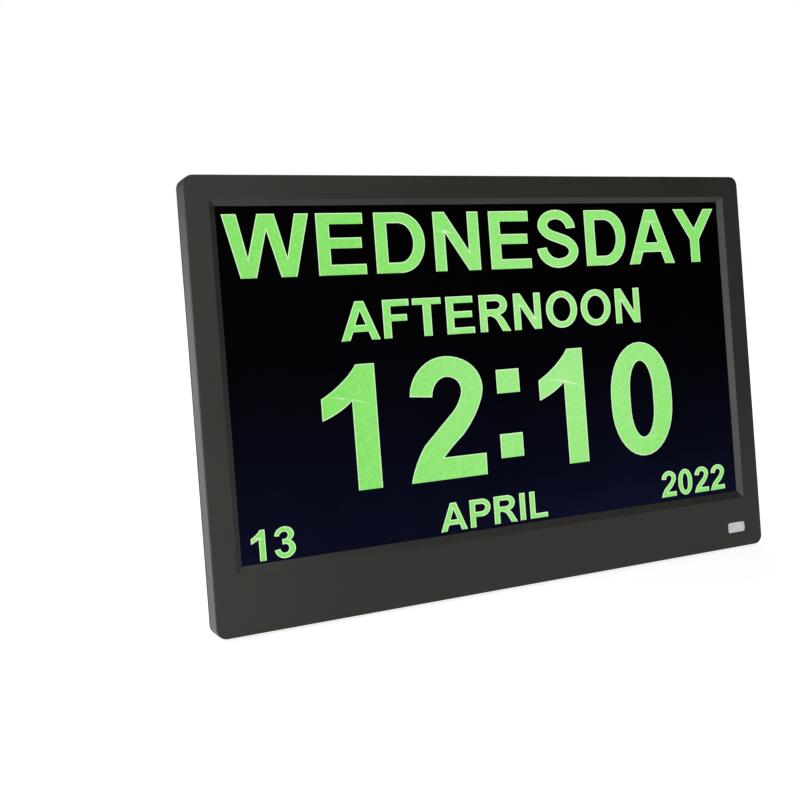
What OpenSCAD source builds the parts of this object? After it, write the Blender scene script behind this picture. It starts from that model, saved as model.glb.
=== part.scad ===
// Day clock: a leaning desk or wall clock whose wide display spells out the day, the part of
// the day, the time and the date. Every piece is drawn in the case's own frame, where X points
// right, Y points back from the face and Z points up from the case's centre. in_case() then
// leans the whole clock back on its leg and sets it on the floor.

/* [Case] */
// Width of the case
case_w = 281.8; // [280:0.1:292]
// Height of the case
case_h = 184; // [183:0.1:192]
// Depth of the front frame's side wall, from the face to the joint with the rear cover
frame_d = 9; // [8.8:0.1:11]
// Depth of the rear cover's rim behind that joint
rim_d = 2; // [2:0.1:3]
// Outer corner radius of the case
corner_r = 4.3; // [3.8:0.1:6]
// Rounding of the face's outer edge
face_edge_r = 0.4; // [0.3:0.1:1]
// Thickness of the moulded walls
wall = 2; // [1.8:0.1:2.2]
// Backward lean of the standing clock, in degrees
lean = 10.06; // [9:0.01:11]
// Height taken off the rim's lowest edge, where the clock stands on it
land_cut = 0.3; // [0.2:0.05:0.4]

/* [Display] */
// Width of the display opening
screen_w = 256.4; // [250:0.1:257]
// Height of the display opening
screen_h = 144.2; // [140:0.1:145]
// Height of the display's centre above the case's centre
screen_z = 7.5; // [6:0.1:7.5]
// Thickness of the face, which is also the depth of the bevel round the display
face_t = 1.8; // [1.6:0.1:2]
// Width of the bevel at the display's left and right
bevel_side = 2.7; // [1:0.1:3]
// Width of the bevel above the display
bevel_top = 2.4; // [1:0.1:3]
// Width of the bevel below the display
bevel_bottom = 3.3; // [1:0.1:4]

/* [Rear housing] */
// Width of the raised housing on the rear cover
back_w = 220; // [216:1:226]
// Height of the raised housing
back_h = 130; // [128:1:134]
// Height of the housing's centre above the case's centre
back_z = -1; // [-2:0.5:0]
// Depth of the housing's rear face behind the clock's face
back_d = 24; // [24:0.5:26]
// Corner radius of the housing
back_r = 12; // [8:1:14]
// Rounding of the housing's rear edge
back_edge_r = 4; // [3:0.5:4]

/* [Stand] */
// Angle between the open leg and the case, in degrees
stand_angle = 22; // [20:0.5:23]
// Height of the leg's hinge above the case's centre
hinge_z = 6; // [2:0.5:8]
// Width of the leg at its hinge
leg_w = 68; // [60:1:68]
// Width of the leg at its foot
foot_w = 46; // [36:1:54]
// Radius of the hinge pin
pin_r = 1.5; // [1.2:0.05:1.6]

/* [Keys] */
// Spacing of the keys on the back
key_pitch = 10.5; // [9.5:0.1:11]
// Radius of a key
key_r = 3.2; // [2.6:0.1:3.4]
// Travel of a key
key_travel = 0.5; // [0.3:0.05:0.5]
// Height of a key above the housing
key_proud = 1.2; // [0.8:0.1:2]

/* [Hidden] */
$fn = 48;
KEYS = ["key_menu", "key_left", "key_up", "key_ok", "key_down", "key_right", "key_power"];

hull_fn = 32;
gap = 0.1;
over = 1;
case_d = frame_d + rim_d;
inner_w = case_w - 2 * wall;
inner_h = case_h - 2 * wall;
inner_r = corner_r - wall;

// Display stack, from front to back
gasket_t = 0.4;
panel_t = 1.1;
backlight_t = 2;
chassis_t = 0.5;
panel_y = face_t + gasket_t;
backlight_y = panel_y + panel_t;
chassis_y = backlight_y + backlight_t;
stack_y = chassis_y + chassis_t;
lcd_side = 3.9;
lcd_top = 3.4;
lcd_bottom = 8.9;
lcd_wall = 0.6;

// Infrared receiver behind its window, low on the right of the face
ir_at = [125.1, -82.2];
ir_size = [10.6, 5];
ir_corner_r = 1.2;
ir_board_y = 7;
ir_board_t = 1;
ir_posts = [[-8.6, 1], [7.3, 1]];
ir_board_size = [19.4, 5.2];
ir_flange = [1.2, 2];
ir_lead_x = 118;
ir_post_r = 1.3;
ir_pin_r = 0.7;

// Screws that hold the case together
boss_r = 2.8;
screw_r = 1.1;
screw_head_r = 2.6;
screw_head_t = 1.3;
screw_inset = 5.5;
corner_screw = [case_w / 2 - screw_inset, case_h / 2 - screw_inset];
middle_screw_x = 45;
case_screws_at = [
    for (sx = [-1, 1], sz = [-1, 1], x = [middle_screw_x, corner_screw.x])
        [sx * x, sz * corner_screw.y]];

// Brackets that hold the display in the front frame
bracket_t = 0.8;
bracket_x = [118, corner_screw.x + 1.9];
bracket_z = [-42, 62];
bracket_screws_z = [-32, 52];
bracket_boss_r = 2.6;
small_screw_r = 1;
small_head_r = 2;
small_head_t = 1.2;

// Boards
board_t = 1.6;
main_board_y = frame_d;
parts_y = main_board_y + board_t;
main_board_x = [42, back_w / 2 - wall - 0.5];
main_board_z = [-30, 45];
main_screws_at = [[46, -26], [90, -26], [46, 41], [78, 31]];
port_x = back_w / 2 - 0.3;
driver_size = [150, 12];
driver_z = -64;
driver_t = 1;
ribbon_x = 64;
ribbon_w = 14;
ribbon_t = 0.3;
ribbon_y = 7.7;
clip_size = [16, 1.4, 5];
lead_sockets_x = [53, 62];
lead_socket_z = -29;
ir_socket = [97, 8.2, -30];
ir_socket_size = [6, 1.6, 4];

// Coin cell that keeps the time through a power cut
coin_at = [62, 25];
coin_r = 10;
coin_t = 3.2;

// Ports on the right side of the housing, from the lowest up
dc_z = -20;
dc_hole_r = 3.15;
dc_pin_r = 1;
dc_nose_r = 4;
headphone_z = -6;
headphone_hole_r = 1.78;
headphone_nose_r = 2.9;
usb_z = 9;
usb_size = [13.1, 5.7];
usb_shell_t = 0.3;
card_z = 30;
card_size = [26, 3];
card_slot = [24.4, 2.3];

// Keys, from the key board out to the cap
key_z = 54;
key_gap = 0.1;
key_flange_r = 4;
key_flange_t = 1.1;
key_flange_y = back_d - wall - gap - key_flange_t;
switch_stub_y = key_flange_y - key_travel - gap;
switch_stub_r = 1.75;
switch_size = 6;
switch_t = 3.1;
switch_stub_t = 0.5;
key_board_y = switch_stub_y - switch_stub_t - switch_t - board_t;
key_board_size = [84, 11];
key_screw_x = 38.6;

// Speakers and their grilles
speaker_at = [72, -48];
speaker_size = [42, 22];
speaker_r = 3;
speaker_y = 13.5;
speaker_dome_r = 7.5;
grille_size = [36, 16];
grille_t = 1.1;
grille_rim = 1.5;
grille_hole_r = 0.8;
grille_pitch = 2.6;

// Keyhole hangers
hanger_at = [75, 44];
hanger_hole_r = 4.5;
hanger_slot_r = 2.3;
hanger_rise = 10;
hanger_pocket = [18, 24];
hanger_pocket_y = 15.5;
hanger_wall = 1.2;

// Vents
vent_count = 8;
vent_pitch = 6.5;
vent_x = 50;
vent_z = 11;
vent_size = [2.2, 32];

// Steps and ribs in the housing's rear wall
panel_sunk = 0.5;
key_strip = [86, 11];
vent_panel = [54.5, 39];
vent_panel_r = 4;
rib_x = [36, 108];
ribs_z = [-30, 33];
rib_h = 2;
joint_groove = [0.5, 0.4];

// Leg and hinge
recess_w = leg_w + 2;
recess_y = 17;
recess_top = hinge_z + 9;
hinge_y = recess_y + 3.6;
barrel_r = 3.2;
pin_end = recess_w / 2 + wall + 1.8;
hinge_boss_r = 3.2;
hinge_boss_t = 2;
pin_play = 0.05;
leg_in = 2.2;
leg_out = 2.4;
leg_skin = 1.8;
leg_wall = 2;
foot_h = 5;
foot_in = 3.2;
heel_h = 7;
rim_edge_r = 0.6;
stop_play = 0.05;
leg_panel_rim = 5;
leg_panel_top = 12;
grip_bars = 5;
grip_pitch = 2.6;
grip_size = [26, 1.2];

// Routes of the leads, by their points in the case's frame
lead_r = 0.6;
left_lead = [[-62, 14.8, -37], [-62, 14.8, -34.5], [-58, 12.5, -33], [40, 12.5, -33],
    [50, 12.3, -33], [53, 12.1, -31.5], [53, 12.1, -29]];
right_lead = [[62, 14.8, -37], [62, 14.8, -35], [62, 12.1, -31.5], [62, 12.1, -29]];
ir_lead_r = 0.5;
ir_route = [[118, 7.5, -78.4], [118, 7.5, -75], [112, 7.6, -66], [98, 7.9, -38],
    [97, 8.2, -34], [97, 8.2, -30]];

// Where the leaning clock stands
swing = stand_angle - lean;
floor_z = land_cut - case_d * sin(lean) - case_h / 2 * cos(lean);
hinge_back = hinge_y * cos(lean) + hinge_z * sin(lean);
hinge_up = hinge_z * cos(lean) - hinge_y * sin(lean);
leg_len = (hinge_up - floor_z) / cos(swing);
front_y = -case_h / 2 * sin(lean) - face_edge_r * (1 - cos(lean) - sin(lean));
rear_y = hinge_back + leg_out * cos(swing) + (hinge_up + leg_out * sin(swing) - floor_z) * tan(swing);
middle_y = (front_y + rear_y) / 2;

charcoal = [0.2, 0.2, 0.19];
dark_plastic = [0.12, 0.12, 0.12];
steel = [0.72, 0.73, 0.75];
board_green = [0.05, 0.3, 0.15];
chip_black = [0.08, 0.08, 0.09];

// Leans the case back and sets the clock on the floor, centred over the origin
module in_case() translate([0, -middle_y, -floor_z]) rotate([-lean, 0, 0]) children();

// Everything below the floor
module below_floor() translate([-case_w, -case_h, -case_h]) cube([2 * case_w, 2 * case_h, case_h]);

// Extrudes an outline drawn in X and Z from depth y0 to depth y1
module slab(y0, y1) translate([0, y1, 0]) rotate([90, 0, 0]) linear_extrude(y1 - y0) children();

// A cylinder along the depth, centred on at = [x, z]
module rod(at, r, y0, y1) translate([at.x, y0, at.y]) rotate([-90, 0, 0]) cylinder(r = r, h = y1 - y0);

// A cone along the depth, of radius r0 at y0 and r1 at y1
module cone(at, r0, r1, y0, y1)
    translate([at.x, y0, at.y]) rotate([-90, 0, 0]) cylinder(r1 = r0, r2 = r1, h = y1 - y0);

// A cylinder along X from x0 to x1, centred on depth y and height z
module bar(x0, x1, y, z, r) translate([x0, y, z]) rotate([0, 90, 0]) cylinder(r = r, h = x1 - x0);

// A box between two corners
module block(low, high) translate(low) cube(high - low);

// A rectangle with true round corners
module rounded(size, r) {
    square([size.x - 2 * r, size.y], center = true);
    square([size.x, size.y - 2 * r], center = true);
    for (sx = [-1, 1], sz = [-1, 1])
        translate([sx * (size.x / 2 - r), sz * (size.y / 2 - r)]) circle(r);
}

// A bar with two full round ends, lying along X
module stadium(length, height) {
    square([length - height, height], center = true);
    for (sx = [-1, 1]) translate([sx * (length - height) / 2, 0]) circle(height / 2);
}

// A slab with round corners whose front and rear edges are rounded by e0 and e1
module soft_slab(size, r, y0, y1, e0, e1) {
    mid = (y0 + y1) / 2;
    hull() for (sx = [-1, 1], sz = [-1, 1], a = [0 : 30 : 90]) {
        at = [sx * (size.x / 2 - r), sz * (size.y / 2 - r)];
        rod(at, r - e0 * (1 - cos(a)), y0 + e0 * (1 - sin(a)), mid, $fn = hull_fn);
        rod(at, r - e1 * (1 - cos(a)), mid, y1 - e1 * (1 - sin(a)), $fn = hull_fn);
    }
}

// A countersunk screw whose head is flush with depth y1, on its way in from the back
module flat_screw(at, y0, y1) {
    rod(at, screw_r, y0, y1 - screw_head_t + 0.1);
    difference() {
        cone(at, screw_r, screw_head_r, y1 - screw_head_t, y1);
        cross_slot(at, y1);
    }
}

// A pan-head screw with its head in front of depth y, driven towards the back
module pan_screw(at, y, length) {
    rod(at, small_screw_r, y - 0.1, y + length);
    difference() {
        rod(at, small_head_r, y - small_head_t, y);
        cross_slot(at, y - small_head_t + 0.5);
    }
}

// A cross recess for a driver, 0.6 deep on either side of depth y
module cross_slot(at, y) for (turn = [0, 90])
    translate([at.x, y, at.y]) rotate([0, turn, 0]) cube([2.2, 1.2, 0.5], center = true);

// --- Front frame and display ---

module screen_outline(grow_side = 0, grow_top = 0, grow_bottom = 0)
    translate([-screen_w / 2 - grow_side, screen_z - screen_h / 2 - grow_bottom])
        square([screen_w + 2 * grow_side, screen_h + grow_top + grow_bottom]);

module lcd_outline(inset = 0)
    screen_outline(lcd_side - inset, lcd_top - inset, lcd_bottom - inset);

module bevel_cut() hull() {
    slab(-0.01, 0) screen_outline(bevel_side, bevel_top, bevel_bottom);
    slab(face_t, face_t + 0.01) screen_outline();
}

// Ribs that centre the display in the frame
module lcd_ribs() {
    lcd_x = screen_w / 2 + lcd_side;
    lcd_z0 = screen_z - screen_h / 2 - lcd_bottom;
    lcd_z1 = screen_z + screen_h / 2 + lcd_top;
    for (sx = [-1, 1], z = [-60, 10, 74])
        block([min(sx * lcd_x, sx * (inner_w / 2 + 0.5)), face_t - 0.5, z],
              [max(sx * lcd_x, sx * (inner_w / 2 + 0.5)), stack_y, z + 1.2]);
    for (x = [-90, -1, 88]) {
        block([x, face_t - 0.5, lcd_z1], [x + 1.2, stack_y, inner_h / 2 + 0.5]);
        block([x, face_t - 0.5, -inner_h / 2 - 0.5], [x + 1.2, stack_y, lcd_z0]);
    }
}

module front_bezel() color(charcoal) in_case() difference() {
    union() {
        difference() {
            soft_slab([case_w, case_h], corner_r, 0, frame_d, face_edge_r, 0);
            slab(face_t, frame_d + over) rounded([inner_w, inner_h], inner_r);
        }
        for (at = case_screws_at) rod(at, boss_r, face_t - 0.5, frame_d);
        for (sx = [-1, 1], z = bracket_screws_z)
            rod([sx * corner_screw.x, z], bracket_boss_r, face_t - 0.5, stack_y);
        for (p = ir_posts) {
            rod(ir_at + p, ir_post_r, face_t - 0.5, ir_board_y);
            rod(ir_at + p, ir_pin_r, face_t, ir_board_y + ir_board_t + 0.5);
        }
        lcd_ribs();
    }
    bevel_cut();
    for (at = case_screws_at) rod(at, screw_r, face_t + 1, frame_d + over);
    for (sx = [-1, 1], z = bracket_screws_z)
        rod([sx * corner_screw.x, z], small_screw_r, face_t, stack_y + over);
    slab(-over, face_t + over) translate(ir_at) rounded(ir_size, ir_corner_r);
}

module ir_window() color([0.5, 0.55, 0.6]) in_case() {
    slab(0.2, face_t) translate(ir_at) rounded(ir_size - [gap, gap], ir_corner_r);
    slab(face_t, face_t + 0.8) translate(ir_at) rounded(ir_size + ir_flange, ir_corner_r);
}

module screen_gasket() color([0.1, 0.1, 0.1]) in_case() slab(face_t, panel_y) difference() {
    lcd_outline(1);
    screen_outline(0.6, 0.6, 0.6);
}

module lcd_panel() color([0.02, 0.02, 0.03]) in_case()
    slab(panel_y, backlight_y) lcd_outline(lcd_wall + 0.2);

module backlight() color([0.9, 0.9, 0.88]) in_case()
    slab(backlight_y, chassis_y) lcd_outline(lcd_wall + 0.2);

// The display's pressed tray, stiffened by four raised pads
module lcd_chassis() color(steel) in_case() {
    difference() {
        slab(panel_y + 0.2, stack_y) lcd_outline();
        slab(panel_y, chassis_y) lcd_outline(lcd_wall);
    }
    for (x = [-84 : 56 : 84])
        slab(stack_y - 0.1, stack_y + 0.4) translate([x, 18]) rounded([44, 56], 6);
}

module bracket(side) color(steel) in_case() {
    x0 = min(side * bracket_x[0], side * bracket_x[1]);
    x1 = max(side * bracket_x[0], side * bracket_x[1]);
    flange_x = side > 0 ? x0 : x1 - bracket_t;
    difference() {
        block([x0, stack_y, bracket_z[0]], [x1, stack_y + bracket_t, bracket_z[1]]);
        for (z = bracket_screws_z)
            rod([side * corner_screw.x, z], small_screw_r, stack_y - over, stack_y + 2 * over);
    }
    block([flange_x, stack_y, bracket_z[0]], [flange_x + bracket_t, stack_y + 2, bracket_z[1]]);
}

module bracket_left() bracket(-1);
module bracket_right() bracket(1);

module bracket_screws() color(steel) in_case() for (sx = [-1, 1], z = bracket_screws_z) {
    at = [sx * corner_screw.x, z];
    rod(at, small_screw_r, face_t + 0.4, stack_y + bracket_t + 0.1);
    difference() {
        rod(at, small_head_r, stack_y + bracket_t, stack_y + bracket_t + small_head_t);
        cross_slot(at, stack_y + bracket_t + small_head_t);
    }
}

module driver_board() color(board_green) in_case() {
    slab(stack_y, stack_y + driver_t) translate([0, driver_z]) square(driver_size, center = true);
    block([ribbon_x - clip_size.x / 2, stack_y + driver_t - 0.1, driver_z],
          [ribbon_x + clip_size.x / 2, stack_y + driver_t + clip_size.y, driver_z + clip_size.z]);
    for (x = [-48 : 24 : 24])
        block([x, stack_y + driver_t - 0.1, driver_z - 3], [x + 14, stack_y + driver_t + 0.7, driver_z]);
}

module ribbon_cable() color([0.85, 0.85, 0.82]) in_case()
    block([ribbon_x - ribbon_w / 2, ribbon_y, driver_z + clip_size.z],
          [ribbon_x + ribbon_w / 2, ribbon_y + ribbon_t, main_board_z[0]]);

module ir_board() color(board_green) in_case() slab(ir_board_y, ir_board_y + ir_board_t)
    difference() {
        translate(ir_at + [-10.6, -1.4]) square(ir_board_size);
        for (p = ir_posts) translate(ir_at + p) circle(ir_pin_r);
    }

module ir_receiver() color(chip_black) in_case() {
    block([ir_at.x - 2.8, 4.4, ir_at.y - 2.6], [ir_at.x + 2.8, ir_board_y, ir_at.y + 2.6]);
    cone(ir_at, 1.6, 2.4, 3.3, 4.5);
}

// --- Main board ---

module main_board() color(board_green) in_case() {
    difference() {
        block([main_board_x[0], main_board_y, main_board_z[0]],
              [main_board_x[1], parts_y, main_board_z[1]]);
        for (at = main_screws_at) rod(at, small_screw_r, main_board_y - over, parts_y + over);
    }
    block([ribbon_x - clip_size.x / 2, main_board_y - clip_size.y, main_board_z[0]],
          [ribbon_x + clip_size.x / 2, main_board_y + 0.1, main_board_z[0] + clip_size.z]);
    block([ir_socket.x - ir_socket_size.x / 2, main_board_y - ir_socket_size.y, main_board_z[0]],
          [ir_socket.x + ir_socket_size.x / 2, main_board_y + 0.1, main_board_z[0] + ir_socket_size.z]);
}

// A chip resistor or capacitor
module small_part(at)
    block([at.x - 0.6, parts_y, at.y - 1], [at.x + 0.6, parts_y + 0.7, at.y + 1]);

module board_chips() color(chip_black) in_case() {
    for (chip = [[72, -6, 14, 14, 1.4], [56, -8, 9, 12, 1.1], [50, 6, 6, 5, 1.2], [84, 4, 6, 6, 2.8]])
        block([chip[0] - chip[2] / 2, parts_y, chip[1] - chip[3] / 2],
              [chip[0] + chip[2] / 2, parts_y + chip[4], chip[1] + chip[3] / 2]);
    for (at = [[78, -22], [71, -22]]) rod(at, 2.5, parts_y, parts_y + 5.5);
    for (i = [0 : 5]) small_part([50 + 2.4 * i, -17]);
    for (i = [0 : 7]) small_part([60 + 2.5 * i, 8.5]);
    for (i = [0 : 4]) small_part([90, -16 + 2.8 * i]);
    slab(parts_y, parts_y + 3.2) translate([83, -11]) rotate(90) stadium(9, 4);
    for (x = lead_sockets_x)
        block([x - 2.5, parts_y, lead_socket_z], [x + 2.5, parts_y + 3, lead_socket_z + 5]);
}

module coin_holder() color(chip_black) in_case() difference() {
    rod(coin_at, coin_r + 1.2, parts_y, parts_y + coin_t + 0.6);
    rod(coin_at, coin_r, parts_y + 1, parts_y + coin_t + over);
    block([coin_at.x - 3, parts_y + 1, coin_at.y], [coin_at.x + 3, parts_y + 6, coin_at.y + coin_r + 2]);
}

module coin_cell() color(steel) in_case() {
    rod(coin_at, coin_r, parts_y + 1, parts_y + coin_t * 0.6 + 1);
    rod(coin_at, coin_r - 0.8, parts_y + 1, parts_y + coin_t + 1);
}

module dc_jack() color(chip_black) in_case() {
    y = parts_y + 4.6;
    difference() {
        union() {
            block([port_x - 14, parts_y, dc_z - 4.5], [port_x - wall - 0.3, parts_y + 9, dc_z + 4.5]);
            bar(port_x - 4, port_x, y, dc_z, dc_nose_r);
        }
        bar(port_x - 9.5, port_x + over, y, dc_z, dc_hole_r);
    }
    bar(port_x - 10, port_x - 0.8, y, dc_z, dc_pin_r);
}

module headphone_jack() color(chip_black) in_case() {
    y = parts_y + 3.2;
    difference() {
        union() {
            block([port_x - 14, parts_y, headphone_z - 3.2],
                  [port_x - wall - 0.3, parts_y + 6.2, headphone_z + 3.2]);
            bar(port_x - 4, port_x, y, headphone_z, headphone_nose_r);
        }
        bar(port_x - 13, port_x + over, y, headphone_z, headphone_hole_r);
    }
}

module usb_port() color(steel) in_case() {
    z0 = usb_z - usb_size.x / 2;
    z1 = usb_z + usb_size.x / 2;
    difference() {
        block([port_x - 14, parts_y, z0], [port_x, parts_y + usb_size.y, z1]);
        block([port_x - 13, parts_y + usb_shell_t, z0 + usb_shell_t],
              [port_x + over, parts_y + usb_size.y - usb_shell_t, z1 - usb_shell_t]);
    }
    block([port_x - 13.5, parts_y + 1, usb_z - 5.5], [port_x - 0.8, parts_y + 2.8, usb_z + 5.5]);
}

module card_socket() color(steel) in_case() difference() {
    block([port_x - 24, parts_y, card_z - card_size.x / 2],
          [port_x - wall - 0.3, parts_y + card_size.y, card_z + card_size.x / 2]);
    block([port_x - 22, parts_y + 0.35, card_z - card_slot.x / 2],
          [port_x + over, parts_y + 0.35 + card_slot.y, card_z + card_slot.x / 2]);
}

module board_screws() color(steel) in_case() {
    for (at = main_screws_at) pan_screw(at, main_board_y, 6);
    for (sx = [-1, 1]) pan_screw([sx * key_screw_x, key_z], key_board_y, 6);
}

// --- Keys ---

function key_x(i) = (i - (len(KEYS) - 1) / 2) * key_pitch;

module key_board() color(board_green) in_case() difference() {
    slab(key_board_y, key_board_y + board_t) translate([0, key_z]) square(key_board_size, center = true);
    for (sx = [-1, 1])
        rod([sx * key_screw_x, key_z], small_screw_r, key_board_y - over, key_board_y + board_t + over);
}

module key_switches() color(chip_black) in_case() for (i = [0 : len(KEYS) - 1]) {
    at = [key_x(i), key_z];
    y = key_board_y + board_t;
    slab(y, y + switch_t) translate(at) square(switch_size, center = true);
    rod(at, switch_stub_r, y + switch_t - 0.1, switch_stub_y);
}

module key(i) color(dark_plastic) in_case() {
    at = [key_x(i), key_z];
    top = back_d + key_proud;
    rod(at, key_flange_r, key_flange_y, key_flange_y + key_flange_t);
    rod(at, key_r, key_flange_y + 0.1, top - 0.4);
    cone(at, key_r, key_r - 0.4, top - 0.4, top);
}

// --- Speakers ---

module speaker(side) color(chip_black) in_case() {
    at = [side * speaker_at.x, speaker_at.y];
    difference() {
        slab(speaker_y, back_d - wall) translate(at) rounded(speaker_size, speaker_r);
        rod(at, speaker_dome_r + 0.8, back_d - wall - 2, back_d - wall + over);
    }
    cone(at, speaker_dome_r, 3, back_d - wall - 2.1, back_d - wall - 0.8);
}

module speaker_left() speaker(-1);
module speaker_right() speaker(1);

module grille(side) color(dark_plastic) in_case() {
    at = [side * speaker_at.x, speaker_at.y];
    y1 = back_d - 0.1;
    difference() {
        slab(y1 - grille_t, y1) translate(at) stadium(grille_size.x, grille_size.y);
        for (i = [-5 : 5], j = [-2 : 2]) {
            hole = at + [i + (j % 2 == 0 ? 0 : 0.5), j * 0.9] * grille_pitch;
            rod(hole, grille_hole_r, y1 - 2 * over, y1 + over);
        }
    }
}

module grille_left() grille(-1);
module grille_right() grille(1);

// --- Leads ---

function unit(v) = v / norm(v);

// The direction of a route at its point i, halfway between the two runs that meet there
function heading(route, i) =
    let (last = len(route) - 1,
         ahead = route[min(i + 1, last)] - route[min(i, last - 1)],
         behind = route[max(i, 1)] - route[max(i - 1, 0)])
    unit(unit(ahead) + unit(behind));

// A thin round lead, swept along its route with 8 sides
module lead(route, r) {
    sides = 8;
    rings = len(route);
    points = [for (i = [0 : rings - 1])
        let (along = heading(route, i),
             across = unit(cross(along, [0.1, 1, 0.3])),
             up = cross(along, across))
        for (k = [0 : sides - 1]) route[i] + r * (cos(45 * k) * across + sin(45 * k) * up)];
    walls = [for (i = [0 : rings - 2], k = [0 : sides - 1])
        let (next = (k + 1) % sides)
        [i * sides + k, (i + 1) * sides + k, (i + 1) * sides + next, i * sides + next]];
    ends = [[for (k = [0 : sides - 1]) k], [for (k = [sides - 1 : -1 : 0]) (rings - 1) * sides + k]];
    polyhedron(points, concat(walls, ends));
}

module speaker_lead_left() color([0.7, 0.1, 0.1]) in_case() lead(left_lead, lead_r);
module speaker_lead_right() color([0.7, 0.1, 0.1]) in_case() lead(right_lead, lead_r);
module ir_lead() color([0.15, 0.15, 0.15]) in_case() lead(ir_route, ir_lead_r);

// --- Rear cover ---

// The rim plate and the raised housing, hollowed from the front
module cover_shell() difference() {
    union() {
        soft_slab([case_w, case_h], corner_r, frame_d, case_d, 0, rim_edge_r);
        translate([0, 0, back_z]) soft_slab([back_w, back_h], back_r, frame_d, back_d, 0, back_edge_r);
    }
    translate([0, 0, back_z])
        soft_slab([back_w - 2 * wall, back_h - 2 * wall], back_r - wall,
                  frame_d - over, back_d - wall, 0, back_edge_r - wall);
}

// The lip that drops inside the front frame's wall, cut away round the screw bosses
module cover_lip() difference() {
    play = 0.3;
    lip_t = 1.2;
    slab(frame_d - 1.4, frame_d + 0.5) difference() {
        rounded([inner_w - play, inner_h - play], inner_r - play / 2);
        rounded([inner_w - play - 2 * lip_t, inner_h - play - 2 * lip_t], inner_r - play / 2 - lip_t);
    }
    for (at = case_screws_at) rod(at, boss_r + 0.3, frame_d - 2, frame_d);
}

module leg_tray() {
    side = recess_w / 2 + wall;
    low = back_z - back_h / 2 + 1;
    block([-side, recess_y - wall, low], [side, back_d - wall + 0.5, recess_top + wall]);
    for (sx = [-1, 1])
        bar(sx > 0 ? side - 0.5 : -side - hinge_boss_t, sx > 0 ? side + hinge_boss_t : -side + 0.5,
            hinge_y, hinge_z, hinge_boss_r);
}

module leg_recess() {
    block([-recess_w / 2, recess_y, back_z - back_h / 2 - over], [recess_w / 2, back_d + over, recess_top]);
    bar(-pin_end, pin_end, hinge_y, hinge_z, pin_r);
}

module hanger_pocket(side, inset) {
    x = side * hanger_at.x;
    z = hanger_at.y - 7.5;
    y1 = back_d - wall + (inset > 0 ? 0 : 0.5);
    block([x - hanger_pocket.x / 2 + inset, hanger_pocket_y + inset, z + inset],
          [x + hanger_pocket.x / 2 - inset, y1, z + hanger_pocket.y - inset]);
}

module keyhole(side) slab(back_d - wall - 0.5, back_d + over) translate([side * hanger_at.x, hanger_at.y]) {
    circle(hanger_hole_r);
    translate([-hanger_slot_r, 0]) square([2 * hanger_slot_r, hanger_rise]);
    translate([0, hanger_rise]) circle(hanger_slot_r);
}

module board_bosses() {
    for (at = main_screws_at) rod(at, boss_r, parts_y, back_d - wall + 0.5);
    for (sx = [-1, 1])
        rod([sx * key_screw_x, key_z], bracket_boss_r, key_board_y + board_t, back_d - wall + 0.5);
}

module board_bores() {
    for (at = main_screws_at) rod(at, small_screw_r, parts_y - over, main_board_y + 6);
    for (sx = [-1, 1]) rod([sx * key_screw_x, key_z], small_screw_r, key_board_y, key_board_y + 6);
}

module speaker_well(side) slab(16, back_d - wall + 0.5) translate([side * speaker_at.x, speaker_at.y])
    difference() {
        rounded(speaker_size + [2.6, 2.6], speaker_r + 1.3);
        rounded(speaker_size + [0.2, 0.2], speaker_r + gap);
    }

module grille_seat(side) {
    at = [side * speaker_at.x, speaker_at.y];
    slab(back_d - wall - over, back_d)
        translate(at) stadium(grille_size.x - 2 * grille_rim, grille_size.y - 2 * grille_rim);
    slab(back_d - 0.1 - grille_t, back_d + over) translate(at) stadium(grille_size.x, grille_size.y);
}

module vents(side) for (i = [0 : vent_count - 1])
    slab(back_d - wall - over, back_d + over)
        translate([side * (vent_x + i * vent_pitch), vent_z]) rotate(90) stadium(vent_size.y, vent_size.x);

// Shallow steps on the housing: a strip round the keys and a panel round each set of vents
module sunk_panels() slab(back_d - panel_sunk, back_d + over) {
    translate([0, key_z]) stadium(key_strip.x, key_strip.y);
    for (side = [-1, 1])
        translate([side * (vent_x + (vent_count - 1) * vent_pitch / 2), vent_z])
            rounded(vent_panel, vent_panel_r);
}

// Ribs that stiffen the housing's rear wall from inside
module wall_ribs(side) for (z = ribs_z)
    block([min(side * rib_x[0], side * rib_x[1]), back_d - wall - rib_h, z - 0.5],
          [max(side * rib_x[0], side * rib_x[1]), back_d - wall + 0.5, z + 0.5]);

// The groove that sets the joint with the front frame back from the side wall
module joint_cut() slab(frame_d - 0.1, frame_d + joint_groove.y) difference() {
    square([case_w + 2, case_h + 2], center = true);
    rounded([case_w - 2 * joint_groove.x, case_h - 2 * joint_groove.x], corner_r - joint_groove.x);
}

module port_holes() {
    x0 = back_w / 2 - wall - 0.5;
    x1 = back_w / 2 + over;
    bar(x0, x1, parts_y + 4.6, dc_z, dc_nose_r + 0.2);
    bar(x0, x1, parts_y + 3.2, headphone_z, headphone_nose_r + 0.2);
    block([x0, parts_y - 0.25, usb_z - usb_size.x / 2 - 0.25],
          [x1, parts_y + usb_size.y + 0.25, usb_z + usb_size.x / 2 + 0.25]);
    block([x0, parts_y, card_z - card_size.x / 2 + 0.3],
          [x1, parts_y + card_size.y, card_z + card_size.x / 2 - 0.3]);
}

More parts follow.
